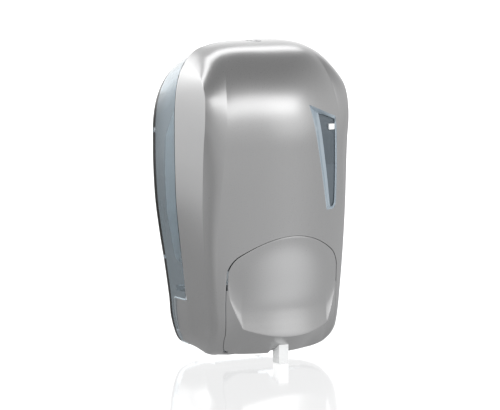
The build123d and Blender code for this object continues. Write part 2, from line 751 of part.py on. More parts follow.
with BuildPart() as catch_screws:
    for x in catch_screw_xs:
        add(screw(strip_y, x, catch_screw_level, strip_y - screw_end_y))
finish(catch_screws, "catch_screws")

# ---- lock: barrel in the dome, clip, cam and the screw that holds the cam ----
head_foot = body_height - lock_recess + fit
head_top = body_height - head_drop
with BuildPart() as lock_barrel:
    add(post(barrel_r, 0, lock_y, cam_top, head_top))
    add(post(lock_head_r, 0, lock_y, head_foot, head_top))
    add(post(screw_r, 0, lock_y, 0, cam_top + cam_screw_depth), mode=Mode.SUBTRACT)
    for side in (-1, 1):
        add(post(key_hole_r, side * key_hole_x, lock_y, head_top - key_hole_depth, body_height + clear),
            mode=Mode.SUBTRACT)
finish(lock_barrel, "lock_barrel")

with BuildPart() as barrel_clip:
    add(post(barrel_r + clip_rim, 0, lock_y, cam_top + 2 * fit, cam_top + 2 * fit + clip_height))
    add(post(barrel_r, 0, lock_y, 0, body_height), mode=Mode.SUBTRACT)
    add(block(-clip_mouth / 2, clip_mouth / 2, 0, lock_y, 0, body_height), mode=Mode.SUBTRACT)
finish(barrel_clip, "barrel_clip")

with BuildPart() as lock_cam:
    add(post(lock_head_r, 0, lock_y, cam_top - cam_height, cam_top))
    add(block(-cam_half, cam_half, lock_y - cam_reach, lock_y, cam_top - cam_height, cam_top))
    add(post(screw_r, 0, lock_y, 0, body_height), mode=Mode.SUBTRACT)
finish(lock_cam, "lock_cam")

with BuildPart() as cam_screw:
    add(post(screw_r, 0, lock_y, cam_top - cam_height, cam_top + cam_screw_depth))
    add(post(screw_head_r, 0, lock_y, cam_top - cam_height - screw_head_height, cam_top - cam_height))
finish(cam_screw, "cam_screw")
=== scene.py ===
"""Wall mounted soap dispenser: the finished look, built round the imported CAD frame."""
import math

import bmesh
import bpy
import numpy as np
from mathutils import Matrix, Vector


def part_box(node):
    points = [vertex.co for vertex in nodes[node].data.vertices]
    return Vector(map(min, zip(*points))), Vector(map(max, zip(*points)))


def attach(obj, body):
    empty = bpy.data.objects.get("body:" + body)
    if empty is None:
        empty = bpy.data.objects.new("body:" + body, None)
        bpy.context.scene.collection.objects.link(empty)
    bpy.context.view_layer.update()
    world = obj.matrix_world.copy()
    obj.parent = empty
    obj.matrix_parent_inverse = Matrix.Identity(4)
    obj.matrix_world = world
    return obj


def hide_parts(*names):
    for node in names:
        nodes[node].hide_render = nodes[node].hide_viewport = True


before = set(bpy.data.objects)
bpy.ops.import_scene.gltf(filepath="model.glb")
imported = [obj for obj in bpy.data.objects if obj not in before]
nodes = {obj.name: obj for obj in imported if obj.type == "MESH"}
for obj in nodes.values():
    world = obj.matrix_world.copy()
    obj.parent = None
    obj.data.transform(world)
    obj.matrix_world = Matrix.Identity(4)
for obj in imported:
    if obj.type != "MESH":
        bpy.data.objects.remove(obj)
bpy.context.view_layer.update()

# ---- the studio ----
# A product studio: a seamless pale sweep that the spout just touches, a strip of light in front,
# a bank overhead and behind, small side cards, and two soft fills that the silver doesn't mirror.
casing_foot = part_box("front_cover")[0].z
look_from = math.radians(-33.0)
look_up = math.radians(7.0)
distance = 3.0
aim = Vector((-0.0083, -0.045, casing_foot + 0.1059))
back = Vector((math.sin(look_from) * math.cos(look_up), -math.cos(look_from) * math.cos(look_up),
               math.sin(look_up)))
camera = bpy.data.objects.new("camera", bpy.data.cameras.new("camera"))
camera.data.lens = 301.0
camera.data.clip_start = 0.1
camera.data.clip_end = 60.0
camera.location = aim + back * distance
camera.rotation_mode = "QUATERNION"
camera.rotation_quaternion = (-back).to_track_quat("-Z", "Y")
bpy.context.scene.collection.objects.link(camera)
bpy.context.scene.camera = camera
bpy.context.scene.view_settings.view_transform = "Standard"


def lamp(name, towards, width, height, reach, strength):
    """A flat rectangular light that faces the casing from a direction, at a distance of reach."""
    light = bpy.data.lights.new(name, "AREA")
    light.shape = "RECTANGLE"
    light.size = width
    light.size_y = height
    light.energy = strength
    made = bpy.data.objects.new(name, light)
    turn, rise = (math.radians(angle) for angle in towards)
    out = Vector((math.sin(turn) * math.cos(rise), -math.cos(turn) * math.cos(rise), math.sin(rise)))
    made.location = aim + out * reach
    made.rotation_mode = "QUATERNION"
    made.rotation_quaternion = out.to_track_quat("Z", "Y")
    made.visible_camera = False
    bpy.context.scene.collection.objects.link(made)
    return made


lamp("front_strip", (6.0, 26.0), 2.2, 0.42, 1.6, 4.6)
lamp("overhead_bank", (12.0, 112.0), 3.2, 0.40, 1.5, 8.0)
lamp("left_card", (-125.0, 35.0), 0.9, 0.6, 1.6, 2.5)
lamp("band_card", (-64.0, 24.0), 0.35, 0.35, 1.6, 0.9)
for name, turn in (("fill_left", -75.0), ("fill_right", 20.0)):
    lamp(name, (turn, 20.0), 1.2, 1.2, 1.8, 13.0).visible_glossy = False



def ranged(tree, source, spans, smooth=False):
    """A number carried from one span to another, (from, from, to, to), and held at its ends."""
    made = tree.nodes.new("ShaderNodeMapRange")
    made.interpolation_type = "SMOOTHSTEP" if smooth else "LINEAR"
    for socket, value in zip(("From Min", "From Max", "To Min", "To Max"), spans):
        made.inputs[socket].default_value = value
    tree.links.new(source, made.inputs["Value"])
    return made.outputs[0]


def combined(tree, operation, first, second):
    """Two numbers added or multiplied; the second may be a plain value."""
    made = tree.nodes.new("ShaderNodeMath")
    made.operation = operation
    tree.links.new(first, made.inputs[0])
    if isinstance(second, float):
        made.inputs[1].default_value = second
    else:
        tree.links.new(second, made.inputs[1])
    return made.outputs[0]


world = bpy.data.worlds.new("studio")
world.use_nodes = True
bpy.context.scene.world = world
sky = world.node_tree
sky_output = next(n for n in sky.nodes if n.type == "OUTPUT_WORLD")
room_light = next(n for n in sky.nodes if n.type == "BACKGROUND")
seen_light = sky.nodes.new("ShaderNodeBackground")
by_ray = sky.nodes.new("ShaderNodeMixShader")
ray = sky.nodes.new("ShaderNodeLightPath")
direction = sky.nodes.new("ShaderNodeTexCoord")
heights = sky.nodes.new("ShaderNodeSeparateXYZ")
fade = sky.nodes.new("ShaderNodeValToRGB")
sky.links.new(direction.outputs["Generated"], heights.inputs[0])
sky.links.new(ranged(sky, heights.outputs["Z"], (-1.0, 1.0, 0.0, 1.0)), fade.inputs[0])
fade.color_ramp.elements[0].position = 0.22
fade.color_ramp.elements[0].color = (0.34, 0.34, 0.34, 1.0)
fade.color_ramp.elements[1].position = 0.42
fade.color_ramp.elements[1].color = (0.72, 0.72, 0.72, 1.0)
for position, grey in ((0.60, 0.74), (0.88, 0.36)):
    fade.color_ramp.elements.new(position).color = (grey, grey, grey, 1.0)
previous = fade.outputs[0]
# patches of the room: which way, the cosines at their rim and core, and how much brighter or darker
for turn, rise, rim, core, amount in (
        (-58.0, -4.0, 0.89, 0.985, 0.46), (-140.0, 15.0, 0.60, 0.97, 2.1), (165.0, 20.0, 0.55, 0.95, 1.9),
        (-150.0, -32.0, 0.60, 0.95, 0.5), (34.0, 12.0, 0.90, 0.995, 1.55)):
    towards = sky.nodes.new("ShaderNodeVectorMath")
    towards.operation = "DOT_PRODUCT"
    flat = math.cos(math.radians(rise))
    towards.inputs[1].default_value = (math.sin(math.radians(turn)) * flat,
                                       -math.cos(math.radians(turn)) * flat, math.sin(math.radians(rise)))
    scaled = sky.nodes.new("ShaderNodeVectorMath")
    scaled.operation = "SCALE"
    sky.links.new(direction.outputs["Generated"], towards.inputs[0])
    sky.links.new(previous, scaled.inputs[0])
    patch = ranged(sky, towards.outputs["Value"], (rim, core, 1.0, amount), smooth=True)
    sky.links.new(patch, scaled.inputs["Scale"])
    previous = scaled.outputs[0]
sky.links.new(previous, room_light.inputs[0])
seen_light.inputs[0].default_value = (0.965, 0.968, 0.972, 1.0)
sky.links.new(ray.outputs["Is Camera Ray"], by_ray.inputs[0])
sky.links.new(room_light.outputs[0], by_ray.inputs[1])
sky.links.new(seen_light.outputs[0], by_ray.inputs[2])
sky.links.new(by_ray.outputs[0], sky_output.inputs[0])


def new_material(name):
    """An empty node material with its Principled shader, and the shader."""
    material = bpy.data.materials.new(name)
    material.use_nodes = True
    return material, next(n for n in material.node_tree.nodes if n.type == "BSDF_PRINCIPLED")


def new_mesh(name, points, faces):
    """An object from an array of points and an array of four cornered faces, smooth shaded.

    A face whose corners meet at a pole is cleaned to a triangle when the doubles are merged.
    """
    mesh = bpy.data.meshes.new(name)
    mesh.from_pydata(points.tolist(), [], faces.tolist())
    work = bmesh.new()
    work.from_mesh(mesh)
    bmesh.ops.remove_doubles(work, verts=work.verts, dist=2e-6)
    bmesh.ops.dissolve_degenerate(work, edges=work.edges, dist=1e-7)
    loose = [v for v in work.verts if not v.link_faces]
    bmesh.ops.delete(work, geom=loose, context="VERTS")
    work.to_mesh(mesh)
    work.free()
    mesh.polygons.foreach_set("use_smooth", np.ones(len(mesh.polygons), bool))
    made = bpy.data.objects.new(name, mesh)
    bpy.context.scene.collection.objects.link(made)
    return made


floor_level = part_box("nozzle")[0].z - 0.0004
floor_half = 9.0
floor_points = floor_half * np.array([(-1.0, -1.0, 0.0), (1.0, -1.0, 0.0), (1.0, 1.0, 0.0), (-1.0, 1.0, 0.0)])
floor_points[:, 2] = floor_level
floor = new_mesh("floor", floor_points, np.array([[0, 1, 2, 3]]))
# The sweep looks evenly white to the camera, but reflections and bounced light see painted light: a glow over
# a dark base, brighter ahead and to the right, with a painted pool of light just in front of the spout,
# dimmer to the left and close behind, and brighter again far behind.
sweep, sweep_shader = new_material("pale_sweep_painted_glow")
sweep_shader.inputs["Base Color"].default_value = (0.05, 0.05, 0.05, 1.0)
sweep_shader.inputs["Roughness"].default_value = 0.08
sweep_tree = sweep.node_tree
sweep_ray = sweep_tree.nodes.new("ShaderNodeLightPath")
sweep_place = sweep_tree.nodes.new("ShaderNodeTexCoord")
sweep_ahead, sweep_spot = (sweep_tree.nodes.new("ShaderNodeVectorMath") for _ in range(2))
sweep_ahead.operation = "DOT_PRODUCT"
sweep_ahead.inputs[1].default_value = (0.55, -0.84, 0.0)
sweep_spot.operation = "DISTANCE"
sweep_spot.inputs[1].default_value = (0.10, -0.25, floor_level)
for measure in (sweep_ahead, sweep_spot):
    sweep_tree.links.new(sweep_place.outputs["Object"], measure.inputs[0])
ahead, from_spot = sweep_ahead.outputs["Value"], sweep_spot.outputs["Value"]
painted_floor_light = combined(sweep_tree, "ADD", ranged(sweep_tree, ahead, (-0.05, 0.20, 0.36, 0.60)),
               ranged(sweep_tree, from_spot, (0.02, 0.17, 0.5, 0.0), smooth=True))
painted_floor_light = combined(sweep_tree, "ADD", painted_floor_light, ranged(sweep_tree, ahead, (-0.45, -1.2, 0.0, 0.6)))
sweep_glow = sweep_tree.nodes.new("ShaderNodeMix")
sweep_glow.inputs["B"].default_value = 0.76
sweep_tree.links.new(sweep_ray.outputs["Is Camera Ray"], sweep_glow.inputs["Factor"])
sweep_tree.links.new(painted_floor_light, sweep_glow.inputs["A"])
sweep_gloss = combined(sweep_tree, "MULTIPLY", sweep_ray.outputs["Is Camera Ray"], 0.4)
sweep_tree.links.new(sweep_gloss, sweep_shader.inputs["Specular IOR Level"])
sweep_tree.links.new(sweep_glow.outputs[0], sweep_shader.inputs["Emission Strength"])
sweep_shader.inputs["Emission Color"].default_value = (0.965, 0.968, 0.972, 1.0)
floor.data.materials.append(sweep)

# ---- rear shell ----
# The rear half is moulded in smoked clear polycarbonate and screwed flat to the wall. Its edge steps
# back below the tank to a thin rim, and the cover closes against it all round.
seam_y = -29.0
shell_skin = 2.2


def along(stations, q):
    """A smooth curve through stations, each (q, value, ...): cubics that share their end slopes."""
    rows = np.array(sorted(stations), float)
    knots, values = rows[:, 0], rows[:, 1:]
    slopes = np.gradient(values, knots, axis=0)
    i = np.clip(np.searchsorted(knots, q) - 1, 0, len(knots) - 2)
    span = (knots[i + 1] - knots[i])[..., None]
    t = np.clip((q[..., None] - knots[i][..., None]) / span, 0.0, 1.0)
    start = (1 + 2 * t) * (1 - t) ** 2 * values[i] + t * (1 - t) ** 2 * span * slopes[i]
    end = t * t * (3 - 2 * t) * values[i + 1] - t * t * (1 - t) * span * slopes[i + 1]
    return start + end


def in_frame(points):
    """Points given as x, y and level in millimetres, with level up from the casing's foot, in metres."""
    return points * 0.001 + np.array([0.0, 0.0, casing_foot])


def grid_faces(rows, columns):
    """The four cornered faces of a grid of points, as an array of rows x columns faces."""
    index = np.arange(rows * columns).reshape(rows, columns)
    return np.stack([index[:-1, :-1], index[:-1, 1:], index[1:, 1:], index[1:, :-1]], axis=-1)


def crown(x, half, middle, rise, power):
    """The dome's outline: a superellipse of half width and rise, standing on the level middle."""
    return middle + rise * (1 - np.clip(np.abs(x) / half, 0, 1) ** power) ** (1 / power)


def seam_outline(turn):
    """x and level of the casing's outline where cover and shell meet.

    turn runs 0 to 1 up the right side and over to the crown: the lower part is a smooth curve
    through the side's widths, the upper a superellipse quarter.
    """
    sides = [(0.0, 38.0, 0.0), (0.03, 41.5, 2.0), (0.07, 45.0, 6.0), (0.12, 47.8, 12.0), (0.18, 50.0, 21.0),
             (0.28, 52.6, 39.0), (0.38, 55.0, 60.0), (0.48, 58.3, 84.5), (0.58, 60.8, 107.6),
             (0.70, 61.9, 134.0), (0.80, 62.2, 156.0)]
    low = along(sides, np.minimum(turn, 0.8))
    angle = np.clip((turn - 0.8) / 0.2, 0, 1) * math.pi / 2
    high_x = 62.2 * np.cos(angle) ** (2 / 3.7)
    high_level = 156.0 + 67.4 * np.sin(angle) ** (2 / 3.7)
    return np.where(turn[..., None] < 0.8, low, np.stack([high_x, high_level], axis=-1))


def wall_outline(turn):
    """x and level of the casing's outline on the wall, with the same turn: lower and rounder."""
    sides = [(0.0, 28.0, 0.0), (0.06, 38.0, 3.6), (0.12, 43.0, 9.4), (0.18, 46.8, 20.9), (0.28, 49.0, 38.3),
             (0.38, 52.6, 61.4), (0.48, 56.8, 84.5), (0.58, 60.3, 107.6), (0.70, 62.2, 136.0),
             (0.80, 62.4, 156.0)]
    low = along(sides, np.minimum(turn, 0.8))
    angle = np.clip((turn - 0.8) / 0.2, 0, 1) * math.pi / 2
    high_x = 62.4 * np.cos(angle) ** (2 / 2.5)
    high_level = 156.0 + 60.0 * np.sin(angle) ** (2 / 2.5)
    return np.where(turn[..., None] < 0.8, low, np.stack([high_x, high_level], axis=-1))


def shell_sheet(turn, depth):
    """A point of the rear shell: turn round the outline, depth 0 on the wall to 1 at the seam.

    It runs straight from the wall's outline to the seam's, which is higher and squarer.
    """
    side = np.sign(turn)
    wall = wall_outline(np.abs(turn))
    seam = seam_outline(np.abs(turn))
    share = depth[..., None]
    across = wall + (seam - wall) * share
    return np.stack([side * across[..., 0], seam_y * depth, across[..., 1]], axis=-1)


step_turn = 0.276
foot_turn = 0.14
turns = np.concatenate([np.linspace(0.0, foot_turn, 14), np.linspace(foot_turn, step_turn, 20)[1:],
                        np.linspace(step_turn, 0.8, 60)[1:], 0.8 + 0.2 * np.linspace(0, 1, 70)[1:]])
turns = np.concatenate([-turns, turns[::-1][1:]])
# a turn of exactly 0 has no side, so each end keeps a trace of its own
turns[0], turns[-1] = -1e-9, 1e-9
depths = np.concatenate([[0.0, 0.06, 0.115], np.linspace(0.18, 0.25, 3), np.linspace(0.3, 1.0, 16)])
turn_grid, depth_grid = np.meshgrid(turns, depths)
shell_points = in_frame(shell_sheet(turn_grid, depth_grid))
shell_faces = grid_faces(len(depths), len(turns))
middle_turn = (np.abs(turns[:-1]) + np.abs(turns[1:])) / 2
middle_depth = (depths[:-1] + depths[1:]) / 2
rim_depth = np.where(middle_turn > step_turn, 1.0, np.where(middle_turn > foot_turn, 0.25, 0.115))
kept = middle_depth[:, None] < rim_depth[None, :]
back_rows = np.linspace(0.0, 1.0, 13)
half_count = len(turns) // 2
left_edge = in_frame(shell_sheet(turns[:half_count + 1], np.zeros(half_count + 1)))
right_edge = in_frame(shell_sheet(turns[::-1][:half_count + 1], np.zeros(half_count + 1)))
plate = left_edge[:, None] + (right_edge - left_edge)[:, None] * back_rows[None, :, None]
plate_faces = grid_faces(half_count + 1, len(back_rows)).reshape(-1, 4) + len(shell_points.reshape(-1, 3))
shell = new_mesh("rear_shell_skin", np.concatenate([shell_points.reshape(-1, 3), plate.reshape(-1, 3)]),
                 np.concatenate([shell_faces[kept], plate_faces[:, ::-1]]))


def face_outwards(piece):
    """Turn the faces of an open or closed sheet to agree with each other, outwards."""
    work = bmesh.new()
    work.from_mesh(piece.data)
    bmesh.ops.recalc_face_normals(work, faces=work.faces)
    work.to_mesh(piece.data)
    work.free()


def thicken(piece, skin, edge, even=True):
    """Give a sheet its wall, inwards, and break its edges with a small round."""
    wall = piece.modifiers.new("wall", "SOLIDIFY")
    wall.thickness = skin
    wall.offset = -1.0
    wall.use_even_offset = even
    wall.thickness_clamp = 0.0
    if edge > 0:
        round_off = piece.modifiers.new("edge", "BEVEL")
        round_off.width = edge
        round_off.segments = 2
        round_off.limit_method = "ANGLE"
        round_off.angle_limit = math.radians(50)
    settle(piece)


def settle(piece):
    """Apply the piece's modifiers to its mesh, and mark the edges over 30 degrees as sharp."""
    seen = piece.evaluated_get(bpy.context.evaluated_depsgraph_get())
    mesh = bpy.data.meshes.new_from_object(seen)
    piece.modifiers.clear()
    piece.data = mesh
    mesh.polygons.foreach_set("use_smooth", np.ones(len(mesh.polygons), bool))
    mesh.set_sharp_from_angle(angle=math.radians(30))


def cut(piece, points, faces):
    """Cut a closed shape, given as points and faces, out of the piece."""
    tool = new_mesh("cutting_shape", points, faces)
    face_outwards(tool)
    taken = piece.modifiers.new("taken", "BOOLEAN")
    taken.operation = "DIFFERENCE"
    taken.solver = "EXACT"
    taken.object = tool
    settle(piece)
    bpy.data.objects.remove(tool)


def prism(outline, near, far, axis):
    """Points and faces of a prism: an outline of (a, b) carried along an axis from near to far.

    The ends are strips between the outline's first half and its second half, walked back.
    """
    outline = np.array(outline, float)
    count = len(outline)
    order = {"x": (2, 0, 1), "y": (0, 2, 1), "z": (0, 1, 2)}[axis]
    ends = [np.column_stack([outline, np.full(count, end)])[:, order] for end in (near, far)]
    ring = np.arange(count)
    sides = np.stack([ring, np.roll(ring, -1), np.roll(ring, -1) + count, ring + count], axis=1)
    up_side, down_side = np.arange(0, count // 2), np.arange(count - 1, count // 2 - 1, -1)
    lid = np.stack([up_side[:-1], up_side[1:], down_side[1:], down_side[:-1]], axis=1)
    return np.concatenate(ends), np.concatenate([sides, lid[:, ::-1], lid + count])


def round_outline(centre, radius, steps):
    """The points of a circle."""
    turn = np.arange(steps) * 2 * math.pi / steps
    return np.stack([centre[0] + radius * np.cos(turn), centre[1] + radius * np.sin(turn)], axis=1)


face_outwards(shell)
thicken(shell, shell_skin * 0.001, 0.0003)
for x in (-35.0, 35.0):
    for z in (-0.045, 0.045):
        cut(shell, *prism(round_outline((x * 0.001, z), 0.0026, 32), -0.02, 0.01, "y"))


def surface_group():
    """The shader group for moulded and metal surfaces, in the piece's own coordinates.

    Two noises, one broad and one fine, shade the colour and the roughness a little, and the fine one
    raises the surface: it puts out a colour, a roughness and a normal.
    """
    group = bpy.data.node_groups.new("moulded_surface", "ShaderNodeTree")
    for name, kind in (("Colour", "NodeSocketColor"), ("Vary", "NodeSocketFloat"),
                       ("Rough", "NodeSocketFloat"), ("Grain Size", "NodeSocketFloat"),
                       ("Grain Depth", "NodeSocketFloat")):
        group.interface.new_socket(name, in_out="INPUT", socket_type=kind)
    for name, kind in (("Colour", "NodeSocketColor"), ("Roughness", "NodeSocketFloat"),
                       ("Normal", "NodeSocketVector")):
        group.interface.new_socket(name, in_out="OUTPUT", socket_type=kind)
    inside, outside = group.nodes.new("NodeGroupInput"), group.nodes.new("NodeGroupOutput")
    place = group.nodes.new("ShaderNodeTexCoord")
    broad, fine = group.nodes.new("ShaderNodeTexNoise"), group.nodes.new("ShaderNodeTexNoise")
    broad.inputs["Scale"].default_value = 22.0
    broad.inputs["Detail"].default_value = 4.0
    fine.inputs["Detail"].default_value = 2.0
    spread, value, rough, bump = (group.nodes.new(kind) for kind in (
        "ShaderNodeMapRange", "ShaderNodeHueSaturation", "ShaderNodeMath", "ShaderNodeBump"))
    less, more, shift = (group.nodes.new("ShaderNodeMath") for _ in range(3))
    group.links.new(place.outputs["Object"], broad.inputs["Vector"])
    group.links.new(place.outputs["Object"], fine.inputs["Vector"])
    group.links.new(inside.outputs["Grain Size"], fine.inputs["Scale"])
    less.operation, more.operation, shift.operation = "SUBTRACT", "ADD", "MULTIPLY_ADD"
    less.inputs[0].default_value = more.inputs[0].default_value = 1.0
    group.links.new(inside.outputs["Vary"], less.inputs[1])
    group.links.new(inside.outputs["Vary"], more.inputs[1])
    group.links.new(broad.outputs["Fac"], spread.inputs["Value"])
    group.links.new(less.outputs[0], spread.inputs["To Min"])
    group.links.new(more.outputs[0], spread.inputs["To Max"])
    group.links.new(spread.outputs[0], value.inputs["Value"])
    group.links.new(inside.outputs["Colour"], value.inputs["Color"])
    group.links.new(value.outputs[0], outside.inputs["Colour"])
    group.links.new(fine.outputs["Fac"], shift.inputs[0])
    group.links.new(inside.outputs["Vary"], shift.inputs[1])
    group.links.new(inside.outputs["Rough"], shift.inputs[2])
    group.links.new(shift.outputs[0], rough.inputs[0])
    rough.inputs[1].default_value = 1.0
    rough.operation = "MULTIPLY"
    group.links.new(rough.outputs[0], outside.inputs["Roughness"])
    group.links.new(fine.outputs["Fac"], bump.inputs["Height"])
    group.links.new(inside.outputs["Grain Depth"], bump.inputs["Distance"])
    bump.inputs["Strength"].default_value = 0.6
    group.links.new(bump.outputs[0], outside.inputs["Normal"])
    return group


moulded_surface = surface_group()


def finish(name, colour, vary, rough, grain_size, grain_depth):
    """A material whose colour, roughness and normal come from the moulded surface group."""
    material, shader = new_material(name)
    tree = material.node_tree
    surface = tree.nodes.new("ShaderNodeGroup")
    surface.node_tree = moulded_surface
    for socket, value in (("Colour", (*colour, 1.0)), ("Vary", vary), ("Rough", rough),
                          ("Grain Size", grain_size), ("Grain Depth", grain_depth)):
        surface.inputs[socket].default_value = value
    tree.links.new(surface.outputs["Colour"], shader.inputs["Base Color"])
    tree.links.new(surface.outputs["Roughness"], shader.inputs["Roughness"])
    tree.links.new(surface.outputs["Normal"], shader.inputs["Normal"])
    return material, shader


smoked, smoked_shader = finish("smoked_polycarbonate", (0.60, 0.655, 0.69), 0.03, 0.03, 400.0, 0.00002)
smoked_shader.inputs["Transmission Weight"].default_value = 1.0
smoked_shader.inputs["IOR"].default_value = 1.4
shell.data.materials.clear()
shell.data.materials.append(smoked)
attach(shell, "base")
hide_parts("rear_shell")


def dress(material, *names):
    """Give carried-over CAD nodes their material."""
    for name in names:
        nodes[name].data.materials.clear()
        nodes[name].data.materials.append(material)


# ---- cradle, clips and pump ----
# The cradle is moulded in grey ABS and screwed to the shell; it clips round the white acetal pump
# body, whose cap holds the piston and its steel return spring.
grey_abs = finish("grey_abs", (0.42, 0.46, 0.49), 0.06, 0.42, 900.0, 0.00006)[0]
dress(grey_abs, "cradle", "tank_clips")
acetal, acetal_shader = finish("white_acetal", (0.86, 0.87, 0.87), 0.03, 0.3, 700.0, 0.00003)
acetal_shader.inputs["Subsurface Weight"].default_value = 0.1
acetal_shader.inputs["Subsurface Radius"].default_value = (0.002, 0.002, 0.002)
dress(acetal, "pump_body", "pump_cap", "piston", "nozzle")
steel, steel_shader = finish("bright_steel", (0.62, 0.63, 0.64), 0.1, 0.24, 1600.0, 0.00002)
steel_shader.inputs["Metallic"].default_value = 1.0
dress(steel, "pump_spring", "cradle_screws", "catch", "catch_screws", "hinge_pins", "lever_pins", "lid_pin",
      "lock_cam", "cam_screw", "barrel_clip")
rubber = finish("black_rubber", (0.03, 0.03, 0.032), 0.15, 0.6, 1200.0, 0.00005)[0]
dress(rubber, "piston_seal", "tank_seal", "lid_gasket")
silicone, silicone_shader = finish("clear_silicone", (0.85, 0.88, 0.88), 0.03, 0.35, 900.0, 0.00002)
silicone_shader.inputs["Transmission Weight"].default_value = 0.6
dress(silicone, "inlet_valve", "spout_valve")

# ---- tank ----
# A translucent polyethylene tank hangs on two clips and stands on the cradle, with a hinged lid over
# its filling mouth. Its skin is milky and waxy.
milky, milky_shader = finish("milky_polyethylene", (0.74, 0.79, 0.82), 0.05, 0.36, 500.0, 0.00005)
milky_shader.inputs["Subsurface Weight"].default_value = 0.3
milky_shader.inputs["Subsurface Radius"].default_value = (0.004, 0.004, 0.004)
dress(milky, "tank", "filler_lid")

# ---- lock ----
# The lock's chromed barrel sits in the dome, a little below its surface, and turns with a two hole key.
chrome, chrome_shader = finish("lock_chrome", (0.5, 0.5, 0.51), 0.05, 0.16, 1500.0, 0.00001)
chrome_shader.inputs["Metallic"].default_value = 1.0
dress(chrome, "lock_barrel")

# ---- front cover ----
# One ABS moulding with a satin silver lacquer. A flat front runs up into a dome between two soft
# creases; beyond them a narrow band turns to the flat sides, which end at the shell.
lever_half, lever_gap = 46.0, 0.35
cover_skin = 2.2
across_lever, across_inner, across_outer = lever_half + lever_gap, 51.3, 66.0
across_seam, across_rear = 103.0, 125.0
dome_level, dome_turn, seam_turn = 150.0, 80.0, 86.0
inner_crease = [(0, 37.0), (1.5, 42.8), (6, 47.0), (12, 49.4), (25, 50.9), (45, 52.1), (65, 52.6), (85, 53.0),
                (107, 52.5), (130, 51.3), (150, 49.6), (164, 47.8), (180.6, 45.4), (198, 41.5), (215, 38.5),
                (230, 36.5), (236, 36.0)]
outer_crease = [(0, 40.0, -34.0, 0.0), (1.5, 44.4, -41.0, 1.5), (6, 48.8, -50.0, 6.0),
                (12, 51.4, -56.0, 12.0),
                (20, 52.3, -58.0, 21.0), (30, 54.0, -60.8, 31.0), (45, 55.6, -62.0, 45.0),
                (65, 57.9, -62.8, 65.0), (85, 59.6, -63.4, 85.0), (107, 60.8, -64.2, 107.0),
                (130, 61.2, -65.3, 131.0), (150, 61.3, -67.0, 156.0), (158, 61.3, -68.2, 165.0),
                (168, 61.0, -68.3, 176.0), (181, 60.0, -66.4, 188.0), (198, 58.3, -59.0, 198.5),
                (215, 55.2, -46.6, 206.2), (230, 54.3, -35.5, 208.3), (236, 54.0, -29.6, 208.8)]
seam_levels = [(0, 0.0), (38, 38.0), (85, 85.0), (130, 131.0), (150, 155.0), (158, 163.5), (168, 174.0),
               (181, 186.0), (198, 197.0), (215, 205.0), (230, 208.3), (236, 208.8)]
seam_sides = [(0, 38.0), (2, 41.5), (6, 45.0), (12, 47.8), (21, 50.0), (39, 52.6),
              (60, 55.0), (84.5, 58.3), (107.6, 60.8),
              (134, 61.9), (156, 62.2)]
rear_edge = [(0, 28.0, -12.0, 0.0), (3.6, 38.5, -8.0, 3.6), (9.4, 43.0, -8.0, 9.4), (21, 46.8, -8.0, 21.0),
             (38, 48.5, -8.0, 38.0)]
chin_set_back = [(0, 27.0), (2.5, 17.0), (8, 8.0), (15, 2.5), (22, 0.5), (28, 0.0), (36, 0.0), (60, 0.0),
                 (240, 0.0)]
front_crown = [(0, 0.0110), (1.5, 0.0098), (6, 0.0088), (12, 0.0082), (25, 0.0076), (45, 0.0070),
               (65, 0.0065), (85, 0.00605), (107, 0.00544), (130, 0.00494), (150, 0.00494), (236, 0.00494)]
opening_edge = [(0, 31.0), (1.5, 37.0), (6, 42.5), (12, 45.6), (20, across_lever), (95, across_lever)]


def front_sheet(x, q):
    """The front between the inner creases, at x, q up: upright, then the dome, then back to the seam.

    Below the dome y is the set back of the chin plus a parabola across; on the dome, y and level
    follow a superellipse quarter up to the outline's height at that x.
    """
    bow = along(front_crown, q)[..., 0] * x * x
    chin = along(chin_set_back, q)[..., 0]
    angle = np.clip((q - dome_level) / dome_turn, 0, 1) * math.pi / 2
    top = crown(x, 62.2, 156.0, 67.4, 3.7)
    rise = np.sin(angle) ** (2 / 2.2)
    run = np.cos(angle) ** (2 / 2.2)
    level = np.where(q < dome_level, q, dome_level + (top - dome_level) * rise)
    y = np.where(q < dome_level, chin + bow - 89.0, -35.0 - (54.0 - bow) * run)
    last = np.clip((q - dome_level - dome_turn) / (seam_turn - dome_turn), 0, 1)
    return np.stack([x, y + last * (35.0 - 29.6), level], axis=-1)


def inner_half(q):
    """Half the distance between the inner creases."""
    return along(inner_crease, q)[..., 0]


def opening_half(q):
    """Half the width of the lever's opening, carried on up the front as a line of the grid."""
    above = across_lever * inner_half(q) / inner_half(np.full_like(q, 95.0))
    return np.where(q > 95.0, above, along(opening_edge, np.minimum(q, 95.0))[..., 0])


def band_sheet(share, q):
    """The band between the creases: straight across, plus a bow of a few millimetres outwards."""
    near = front_sheet(inner_half(q), q)
    far = along(outer_crease, q)
    step = 1.0
    up_q, down_q = np.minimum(q + step, 236.0), np.maximum(q - step, 0.0)
    rising = (front_sheet(inner_half(up_q), up_q) + along(outer_crease, up_q)
              - front_sheet(inner_half(down_q), down_q) - along(outer_crease, down_q))
    out = np.cross(far - near, rising)
    out /= np.maximum(np.linalg.norm(out, axis=-1, keepdims=True), 1e-9)
    bow = along([(0, 0.8), (40, 1.2), (190, 1.3), (236, 2.8)], q)
    share = share[..., None]
    return near + (far - near) * share + out * bow * 4 * share * (1 - share)


def seam_point(q):
    """The cover's edge along the seam, where the side panels end."""
    level = along(seam_levels, q)[..., 0]
    low = along(seam_sides, np.minimum(level, 156.0))[..., 0]
    rise = np.clip((level - 156.0) / 67.4, 0, 1)
    x = np.where(level < 156.0, low, 62.2 * (1 - rise ** 3.7) ** (1 / 3.7))
    return np.stack([x, np.full_like(x, -29.6), level], axis=-1)


